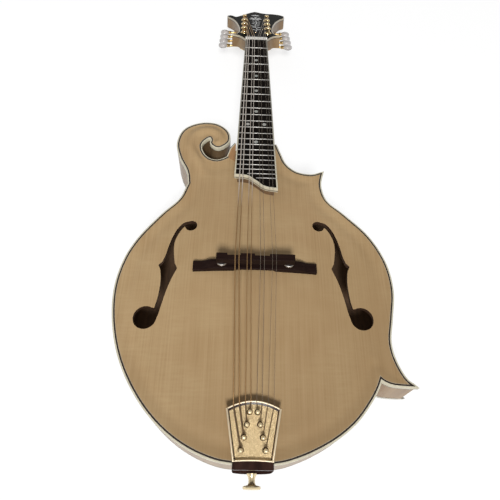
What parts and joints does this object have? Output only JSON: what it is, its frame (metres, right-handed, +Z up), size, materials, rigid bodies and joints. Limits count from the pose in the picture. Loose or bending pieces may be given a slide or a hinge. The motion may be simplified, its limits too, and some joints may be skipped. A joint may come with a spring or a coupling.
{
  "type": "f-style mandolin",
  "caption": "F-style mandolin with a carved top, scroll and points, paired strings, geared tuners, an adjustable bridge and a cast tailpiece.",
  "frame": {"origin": "middle of the small flat under the back, where the instrument lies on a level surface", "axes": "+Y towards the headstock, +X towards the treble side, +Z up out of the soundboard"},
  "size_m": [0.2677, 0.6868, 0.0873],
  "materials": {
    "spruce_top": "clear gloss over pale spruce",
    "maple_body": "clear gloss over pale flamed maple",
    "binding": "ivory coloured, polished",
    "inner_wood": "bare",
    "ebony": "oiled",
    "bone_nut": "polished bone",
    "steel": "bare",
    "black_lacquer": "black gloss",
    "gold_hardware": "gold plated",
    "pearl_buttons": "pearl like, polished",
    "nickel": "nickel plated",
    "wound_strings": "bronze wound",
    "plain_strings": "plain steel"
  },
  "bodies": {
    "root": {"soundboard": "spruce_top", "top_binding": "binding", "back_binding": "binding", "bass_rib": "maple_body", "upper_treble_rib": "maple_body", "middle_treble_rib": "maple_body", "lower_treble_rib": "maple_body", "top_lining": "inner_wood", "back_lining": "inner_wood", "head_block": "maple_body", "tail_block": "inner_wood", "upper_point_block": "inner_wood", "lower_point_block": "inner_wood", "bass_tone_bar": "inner_wood", "treble_tone_bar": "inner_wood", "fingerboard": "ebony", "fingerboard_binding": "binding", "extension_riser": "ebony", "neck": "maple_body", "nut": "bone_nut", "truss_rod": "steel", "truss_rod_nut": "steel", "headstock_veneer": "black_lacquer", "headstock_binding": "binding", "truss_rod_cover": "black_lacquer", "bass_tuner_plate": "gold_hardware", "treble_tuner_plate": "gold_hardware", "bridge_base": "ebony", "bass_bridge_stud": "nickel", "treble_bridge_stud": "nickel", "tailpiece": "gold_hardware", "strap_button": "gold_hardware", "string_g1": "wound_strings", "string_g2": "wound_strings", "string_d1": "wound_strings", "string_d2": "wound_strings", "string_a1": "plain_strings", "string_a2": "plain_strings", "string_e1": "plain_strings", "string_e2": "plain_strings", "back_plate": "maple_body"},
    "knob_g1": {"knob_g1": "pearl_buttons"},
    "knob_g2": {"knob_g2": "pearl_buttons"},
    "knob_d1": {"knob_d1": "pearl_buttons"},
    "knob_d2": {"knob_d2": "pearl_buttons"},
    "knob_e1": {"knob_e1": "pearl_buttons"},
    "knob_e2": {"knob_e2": "pearl_buttons"},
    "knob_a1": {"knob_a1": "pearl_buttons"},
    "knob_a2": {"knob_a2": "pearl_buttons"},
    "post_g1": {"post_g1": "gold_hardware"},
    "post_g2": {"post_g2": "gold_hardware"},
    "post_d1": {"post_d1": "gold_hardware"},
    "post_d2": {"post_d2": "gold_hardware"},
    "post_e1": {"post_e1": "gold_hardware"},
    "post_e2": {"post_e2": "gold_hardware"},
    "post_a1": {"post_a1": "gold_hardware"},
    "post_a2": {"post_a2": "gold_hardware"},
    "saddle": {"bridge_saddle": "ebony"},
    "bass_wheel": {"bass_thumbwheel": "nickel"},
    "treble_wheel": {"treble_thumbwheel": "nickel"}
  },
  "joints": [
    {"name": "knob_g1_turn", "type": "hinge", "parent": "root", "child": "knob_g1", "pos_m": [-0.0165, 0.43141, 0.03005], "axis": [1, 0, 0], "continuous": true},
    {"name": "post_g1_turn", "type": "hinge", "parent": "root", "child": "post_g1", "pos_m": [-0.0165, 0.42966, 0.05191], "axis": [0, 0.3035, 0.9528], "continuous": true},
    {"name": "knob_g2_turn", "type": "hinge", "parent": "root", "child": "knob_g2", "pos_m": [-0.0165, 0.45285, 0.02322], "axis": [1, 0, 0], "continuous": true},
    {"name": "post_g2_turn", "type": "hinge", "parent": "root", "child": "post_g2", "pos_m": [-0.0165, 0.4511, 0.04508], "axis": [0, 0.3035, 0.9528], "continuous": true},
    {"name": "knob_d1_turn", "type": "hinge", "parent": "root", "child": "knob_d1", "pos_m": [-0.0165, 0.47429, 0.01639], "axis": [1, 0, 0], "continuous": true},
    {"name": "post_d1_turn", "type": "hinge", "parent": "root", "child": "post_d1", "pos_m": [-0.0165, 0.47254, 0.03825], "axis": [0, 0.3035, 0.9528], "continuous": true},
    {"name": "knob_d2_turn", "type": "hinge", "parent": "root", "child": "knob_d2", "pos_m": [-0.0165, 0.49573, 0.00956], "axis": [1, 0, 0], "continuous": true},
    {"name": "post_d2_turn", "type": "hinge", "parent": "root", "child": "post_d2", "pos_m": [-0.0165, 0.49398, 0.03142], "axis": [0, 0.3035, 0.9528], "continuous": true},
    {"name": "knob_e1_turn", "type": "hinge", "parent": "root", "child": "knob_e1", "pos_m": [0.0165, 0.43141, 0.03005], "axis": [1, 0, 0], "continuous": true},
    {"name": "post_e1_turn", "type": "hinge", "parent": "root", "child": "post_e1", "pos_m": [0.0165, 0.42966, 0.05191], "axis": [0, 0.3035, 0.9528], "continuous": true},
    {"name": "knob_e2_turn", "type": "hinge", "parent": "root", "child": "knob_e2", "pos_m": [0.0165, 0.45285, 0.02322], "axis": [1, 0, 0], "continuous": true},
    {"name": "post_e2_turn", "type": "hinge", "parent": "root", "child": "post_e2", "pos_m": [0.0165, 0.4511, 0.04508], "axis": [0, 0.3035, 0.9528], "continuous": true},
    {"name": "knob_a1_turn", "type": "hinge", "parent": "root", "child": "knob_a1", "pos_m": [0.0165, 0.47429, 0.01639], "axis": [1, 0, 0], "continuous": true},
    {"name": "post_a1_turn", "type": "hinge", "parent": "root", "child": "post_a1", "pos_m": [0.0165, 0.47254, 0.03825], "axis": [0, 0.3035, 0.9528], "continuous": true},
    {"name": "knob_a2_turn", "type": "hinge", "parent": "root", "child": "knob_a2", "pos_m": [0.0165, 0.49573, 0.00956], "axis": [1, 0, 0], "continuous": true},
    {"name": "post_a2_turn", "type": "hinge", "parent": "root", "child": "post_a2", "pos_m": [0.0165, 0.49398, 0.03142], "axis": [0, 0.3035, 0.9528], "continuous": true},
    {"name": "saddle_lift", "type": "slide", "parent": "root", "child": "saddle", "axis": [0, -0.0512, 0.9987], "range_m": [-0.0025, 0]},
    {"name": "bass_wheel_turn", "type": "hinge", "parent": "saddle", "child": "bass_wheel", "pos_m": [-0.0303, 0.03887, 0.0763], "axis": [0, -0.0512, 0.9987], "range_deg": [-1134, 0]},
    {"name": "treble_wheel_turn", "type": "hinge", "parent": "saddle", "child": "treble_wheel", "pos_m": [0.0303, 0.03887, 0.0763], "axis": [0, -0.0512, 0.9987], "range_deg": [-1134, 0]}
  ],
  "couplings": [
    {"joint": "post_g1_turn", "follows": "knob_g1_turn", "ratio": 0.071429},
    {"joint": "post_g2_turn", "follows": "knob_g2_turn", "ratio": 0.071429},
    {"joint": "post_d1_turn", "follows": "knob_d1_turn", "ratio": 0.071429},
    {"joint": "post_d2_turn", "follows": "knob_d2_turn", "ratio": 0.071429},
    {"joint": "post_e1_turn", "follows": "knob_e1_turn", "ratio": 0.071429},
    {"joint": "post_e2_turn", "follows": "knob_e2_turn", "ratio": 0.071429},
    {"joint": "post_a1_turn", "follows": "knob_a1_turn", "ratio": 0.071429},
    {"joint": "post_a2_turn", "follows": "knob_a2_turn", "ratio": 0.071429},
    {"joint": "bass_wheel_turn", "follows": "saddle_lift", "rad_per_m": 7913.3},
    {"joint": "treble_wheel_turn", "follows": "saddle_lift", "rad_per_m": 7913.3}
  ]
}
